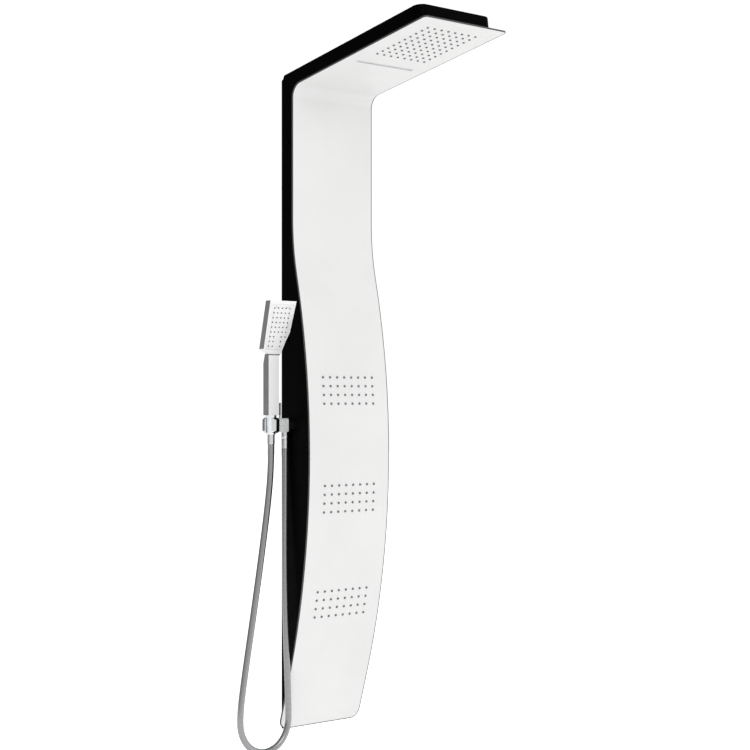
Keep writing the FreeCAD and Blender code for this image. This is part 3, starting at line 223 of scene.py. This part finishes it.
def painted_outline_shade():
    """A fine dark line painted along the white face's outline: painted shade where its edges turn from the
    light.
    """
    low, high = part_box("face_panel")
    pitch, half_width = math.radians(HEAD_PITCH), high.x
    tree, principled = WHITE.node_tree, WHITE.node_tree.nodes["Principled BSDF"]
    across, depth, height = object_axes(tree)
    across = calc(tree, "ABSOLUTE", across)
    reach = calc(tree, "MULTIPLY", calc(tree, "SUBTRACT", depth, low.y), math.cos(pitch))
    rise = calc(tree, "MULTIPLY", calc(tree, "SUBTRACT", height, high.z), math.sin(pitch))
    from_foot = calc(tree, "SUBTRACT", height, low.z)
    from_front = calc(tree, "SUBTRACT", reach, rise)
    gaps = []
    for radius, from_end in ((FOOT_CORNER, from_foot), (FRONT_CORNER, from_front)):
        beside = excess(tree, across, half_width - radius)
        beyond = excess(tree, radius, from_end)
        corner = calc(tree, "SQRT", calc(tree, "ADD", square(tree, beside), square(tree, beyond)))
        gaps.append(calc(tree, "SUBTRACT", radius, corner))
    line = ramp(tree, calc(tree, "MINIMUM", *gaps), 1.0, 0.0, OUTLINE_SHADE_FULL, OUTLINE_SHADE_GONE)
    # painted shade: the dark line is laid over the white near the face's outline
    overlay(tree, principled, line, OUTLINE_SHADE_COLOUR)


painted_outline_shade()


# how far the body's surface must face forward before its chrome is painted white: a painted reflection
PAINTED_REFLECTION_STARTS, PAINTED_REFLECTION_FULL = -0.80, -0.90


def chrome_with_painted_front():
    """Chrome back and sides, with white painted on where the body faces forward as a painted reflection of
    the bright room; it carries on below the spray face.
    """
    material = finish_of("chrome_with_painted_reflection", (0.80, 0.81, 0.83), (0.88, 0.89, 0.90), (0.05, 0.12), scale=40.0,
                         relief=0.000004, relief_scale=300.0)
    tree, principled = material.node_tree, material.node_tree.nodes["Principled BSDF"]
    # painted reflection: forward-facing surface turns from chrome to glossy white
    front = ramp(tree, object_axes(tree, "Normal")[1], 0.0, 1.0, PAINTED_REFLECTION_STARTS, PAINTED_REFLECTION_FULL)
    tree.links.new(calc(tree, "SUBTRACT", 1.0, front), principled.inputs["Metallic"])
    overlay(tree, principled, front, (0.93, 0.93, 0.935))
    overlay(tree, principled, front, 0.22, "Roughness")
    return material


HAND_BODY = chrome_with_painted_front()
HAND_WHITE = finish_of("spray_face_white", (0.86, 0.86, 0.87), (0.90, 0.90, 0.905), (0.12, 0.2), scale=60.0,
                       relief=0.00001, relief_scale=900.0, Coat_Weight=0.4)


SPIRAL_PITCH = 0.0026


def hose_finish():
    """Bright silver winding with a thin clear coat: a fine spiral along the hose, by its UVs in metres."""
    material, tree, principled = shader("silver_hose", Metallic=0.96, Coat_Weight=0.15, Coat_Roughness=0.12)
    along = node(tree, "ShaderNodeUVMap", uv_map="along")
    apart = node(tree, "ShaderNodeSeparateXYZ")
    tree.links.new(along.outputs["UV"], apart.inputs["Vector"])
    turns = calc(tree, "MULTIPLY", apart.outputs["Y"], 1 / SPIRAL_PITCH)
    wave = calc(tree, "PINGPONG", calc(tree, "ADD", turns, apart.outputs["X"]), 0.5)
    tree.links.new(ramp(tree, wave, (0.24, 0.24, 0.245), (0.42, 0.42, 0.425), 0.02, 0.30),
                   principled.inputs["Base Color"])
    tree.links.new(ramp(tree, noise(tree, 150.0), 0.11, 0.17), principled.inputs["Roughness"])
    bump(tree, principled, ramp(tree, wave, 0.0, 1.0, 0.02, 0.3), 0.00004)
    return material


HOSE = hose_finish()

FINISHES = {
    "face_white": WHITE, "casing_black": BLACK, "screw_black": BLACK, "zinc_steel": ZINC,
    "nozzle_silicone": RUBBER, "chamber_plastic": MOULDED, "spout_steel": STEEL, "pipe_plastic": PIPE,
    "brass": BRASS, "cartridge_plastic": GREY, "button_red": RED, "hose_silver": HOSE,
    "washer_rubber": BLACK_RUBBER, "handset_white": HAND_WHITE, "handset_silicone": PALE_RUBBER,
    "holder_satin": SATIN, "chrome": CHROME,
}
for piece in NODES.values():
    for material_slot in piece.material_slots:
        known = material_slot.material.name if material_slot.material else ""
        for name, finish in FINISHES.items():
            if known == name or known.startswith(name + "."):
                material_slot.material = finish

for material_slot in NODES["handset_body"].material_slots:
    material_slot.material = HAND_BODY


def plane(name, centre, size, material):
    """A flat square of stage around a centre."""
    mesh = bpy.data.meshes.new(name)
    grid = bmesh.new()
    bmesh.ops.create_grid(grid, x_segments=8, y_segments=8, size=size)
    grid.to_mesh(mesh)
    grid.free()
    made = bpy.data.objects.new(name, mesh)
    made.location = centre
    made.data.materials.append(material)
    bpy.context.collection.objects.link(made)


FLOOR_LIT, FLOOR_SEEN = 0.58, 1.0
SKY_SEEN = 1.05
SKY_IN_FRONT, SKY_BEHIND = 0.92, 0.25

FLOOR = finish_of("studio_floor", (0.70, 0.70, 0.70), (0.72, 0.72, 0.72), (0.8, 0.9), scale=2.0,
                  Emission_Color=(1, 1, 1, 1))
floor_tree = FLOOR.node_tree
# the floor and the sky are brighter to the camera than to reflections; no piece of the object does this
floor_seen = node(floor_tree, "ShaderNodeLightPath")
floor_tree.links.new(ramp(floor_tree, floor_seen.outputs["Is Camera Ray"], FLOOR_LIT, FLOOR_SEEN, 0.0, 1.0),
                     floor_tree.nodes["Principled BSDF"].inputs["Emission Strength"])
plane("floor", (0, -0.4, FLOOR_Z), 14.0, FLOOR)

world = bpy.data.worlds.new("studio")
bpy.context.scene.world = world
world.use_nodes = True
sky = world.node_tree
backdrop = sky.nodes["Background"]
backdrop.inputs["Color"].default_value = (1, 1, 1, 1)
backdrop.inputs["Strength"].default_value = SKY_SEEN
room = node(sky, "ShaderNodeBackground")
direction = node(sky, "ShaderNodeTexCoord")
apart = node(sky, "ShaderNodeSeparateXYZ")
sky.links.new(direction.outputs["Generated"], apart.inputs["Vector"])
# the studio is bright in front of the column and dim on the wall's side
sky.links.new(ramp(sky, apart.outputs["Y"], SKY_IN_FRONT, SKY_BEHIND, -0.55, 0.85), room.inputs["Strength"])
either = node(sky, "ShaderNodeMixShader")
seen = node(sky, "ShaderNodeLightPath")
sky.links.new(seen.outputs["Is Camera Ray"], either.inputs["Fac"])
sky.links.new(room.outputs["Background"], either.inputs[1])
sky.links.new(backdrop.outputs["Background"], either.inputs[2])
sky.links.new(either.outputs["Shader"], sky.nodes["World Output"].inputs["Surface"])


def soft_light(name, place, target, size, power):
    """A rectangular area light that faces a target."""
    lamp = bpy.data.lights.new(name, "AREA")
    lamp.shape = "RECTANGLE"
    lamp.size, lamp.size_y = size
    lamp.energy = power
    made = bpy.data.objects.new(name, lamp)
    made.location = place
    made.rotation_euler = (Vector(target) - Vector(place)).to_track_quat("-Z", "Y").to_euler()
    bpy.context.collection.objects.link(made)


soft_light("key", (-1.2, -4.2, 2.2), (0, -0.1, -0.5), (3.0, 3.0), 41)
soft_light("fill", (2.8, -2.0, 0.2), (0, -0.1, -0.6), (2.0, 3.0), 12)


# ---------------------------------------------------------------- rounded edges of the frame's own pieces

# a dark grey finish for the face panel's rounded edges: painted shade along its outline
EDGE_SHADE = finish_of("painted_edge_shade", (0.20, 0.20, 0.20), (0.30, 0.30, 0.30), (0.25, 0.4), scale=90.0,
                 Metallic=0.6)


WELD_REACH = 0.000005
BEVEL_STEPS, SHARP_ANGLE = 2, 32
NORMAL_WEIGHT = 60


def soften(name, width, rim=None):
    """Round the sharp edges of a frame piece, with a finish of its own on them if rim is given."""
    piece = NODES[name]
    weld = piece.modifiers.new("weld", "WELD")
    weld.merge_threshold = WELD_REACH
    round_off = piece.modifiers.new("round", "BEVEL")
    round_off.width = width
    round_off.segments = BEVEL_STEPS
    round_off.limit_method = "ANGLE"
    round_off.angle_limit = math.radians(SHARP_ANGLE)
    round_off.use_clamp_overlap = True
    if rim:
        piece.data.materials.append(rim)
        round_off.material = len(piece.data.materials) - 1
    even = piece.modifiers.new("even", "WEIGHTED_NORMAL")
    even.keep_sharp = False
    even.weight = NORMAL_WEIGHT


# the face panel's bevels carry the painted edge shade
soften("face_panel", 0.0007, rim=EDGE_SHADE)
for name, width in (("casing_side_left", 0.0006), ("casing_side_right", 0.0006), ("head_cover", 0.0008),
                    ("holder_block", 0.0012), ("cradle", 0.0009), ("handle_guide", 0.0012),
                    ("handset_body", 0.0016), ("handset_face", 0.0003), ("hose_nut", 0.0006),
                    ("hose_cone", 0.0008), ("temperature_knob", 0.0015), ("diverter_knob", 0.0018),
                    ("stop_button", 0.0008), ("mixer_escutcheon", 0.0008), ("diverter_escutcheon", 0.0008),
                    ("wall_bracket_upper", 0.0003), ("wall_bracket_lower", 0.0003), ("hot_inlet_nut", 0.0007),
                    ("cold_inlet_nut", 0.0007), ("outlet_locknut", 0.0006)):
    soften(name, width)


# ---------------------------------------------------------------- hose

HOSE_POINTS = [
    (-0.1065, -0.028, -0.677), (-0.1065, -0.028, -0.722), (-0.109, -0.031, -0.800), (-0.114, -0.037, -0.920),
    (-0.119, -0.047, -1.060), (-0.120, -0.056, -1.180), (-0.1205, -0.060, -1.245), (-0.123, -0.062, -1.287),
    (-0.146, -0.063, -1.320), (-0.184, -0.063, -1.333), (-0.222, -0.063, -1.320), (-0.245, -0.062, -1.287),
    (-0.247, -0.060, -1.245), (-0.234, -0.057, -1.170), (-0.208, -0.051, -1.045), (-0.182, -0.046, -0.910),
    (-0.1605, -0.043, -0.780), (-0.154, -0.042, -0.710), (-0.154, -0.042, -0.667),
]
HOSE_RADIUS = 0.007
HOSE_STEP, HOSE_SIDES = 0.002, 24


def centreline(points, resolution=16):
    """The points along the smooth line that runs between the given ones."""
    curve = bpy.data.curves.new("line", "CURVE")
    curve.dimensions = "3D"
    spline = curve.splines.new("NURBS")
    spline.points.add(len(points) - 1)
    for point, place in zip(spline.points, points):
        point.co = (*place, 1)
    spline.order_u = 3
    spline.use_endpoint_u = True
    spline.resolution_u = resolution
    holder = bpy.data.objects.new("line", curve)
    bpy.context.collection.objects.link(holder)
    bpy.context.view_layer.update()
    mesh = bpy.data.meshes.new_from_object(holder)
    line = [vertex.co.copy() for vertex in mesh.vertices]
    bpy.data.objects.remove(holder)
    bpy.data.curves.remove(curve)
    bpy.data.meshes.remove(mesh)
    return line


def resample(line, step):
    """Points evenly spaced along a line, and its length."""
    lengths = [0.0]
    for here, there in zip(line, line[1:]):
        lengths.append(lengths[-1] + (there - here).length)
    total = lengths[-1]
    count = max(2, round(total / step))
    spaced, index = [], 0
    for number in range(count + 1):
        want = total * number / count
        while index < len(line) - 2 and lengths[index + 1] < want:
            index += 1
        gap = lengths[index + 1] - lengths[index]
        share = (want - lengths[index]) / gap if gap else 0.0
        spaced.append(line[index].lerp(line[index + 1], share))
    return spaced, total


def linked(name, mesh, material):
    """A smooth shaded object in the scene from a mesh."""
    made = bpy.data.objects.new(name, mesh)
    bpy.context.collection.objects.link(made)
    made.data.materials.append(material)
    for face in mesh.polygons:
        face.use_smooth = True
    return made


def sweep(name, line, radius, sides, material):
    """A closed tube along a line, with its girth and its length as UVs."""
    built = bmesh.new()
    uv = built.loops.layers.uv.new("along")
    tangents = []
    for index in range(len(line)):
        before, after = line[max(index - 1, 0)], line[min(index + 1, len(line) - 1)]
        tangents.append((after - before).normalized())
    side = tangents[0].orthogonal().normalized()
    rings, along = [], [0.0]
    for index, (point, tangent) in enumerate(zip(line, tangents)):
        side = (side - tangent * side.dot(tangent)).normalized()
        other = tangent.cross(side)
        ring = []
        for number in range(sides):
            turn = 2 * math.pi * number / sides
            ring.append(built.verts.new(point + (side * math.cos(turn) + other * math.sin(turn)) * radius))
        rings.append(ring)
        if index:
            along.append(along[-1] + (point - line[index - 1]).length)
    for index, (low, high) in enumerate(zip(rings, rings[1:])):
        for number in range(sides):
            after = (number + 1) % sides
            face = built.faces.new((low[number], low[after], high[after], high[number]))
            corners = ((number, index), (number + 1, index), (number + 1, index + 1), (number, index + 1))
            for loop, (girth, station) in zip(face.loops, corners):
                loop[uv].uv = (girth / sides, along[station])
    built.faces.new(list(reversed(rings[0])))
    built.faces.new(rings[-1])
    mesh = bpy.data.meshes.new(name)
    built.normal_update()
    built.to_mesh(mesh)
    built.free()
    return linked(name, mesh, material)


hose_line = centreline(HOSE_POINTS)
hose_spaced, hose_length = resample(hose_line, HOSE_STEP)
hose = sweep("hose_tube", hose_spaced, HOSE_RADIUS, HOSE_SIDES, HOSE)
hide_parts("hose")
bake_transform(hose)
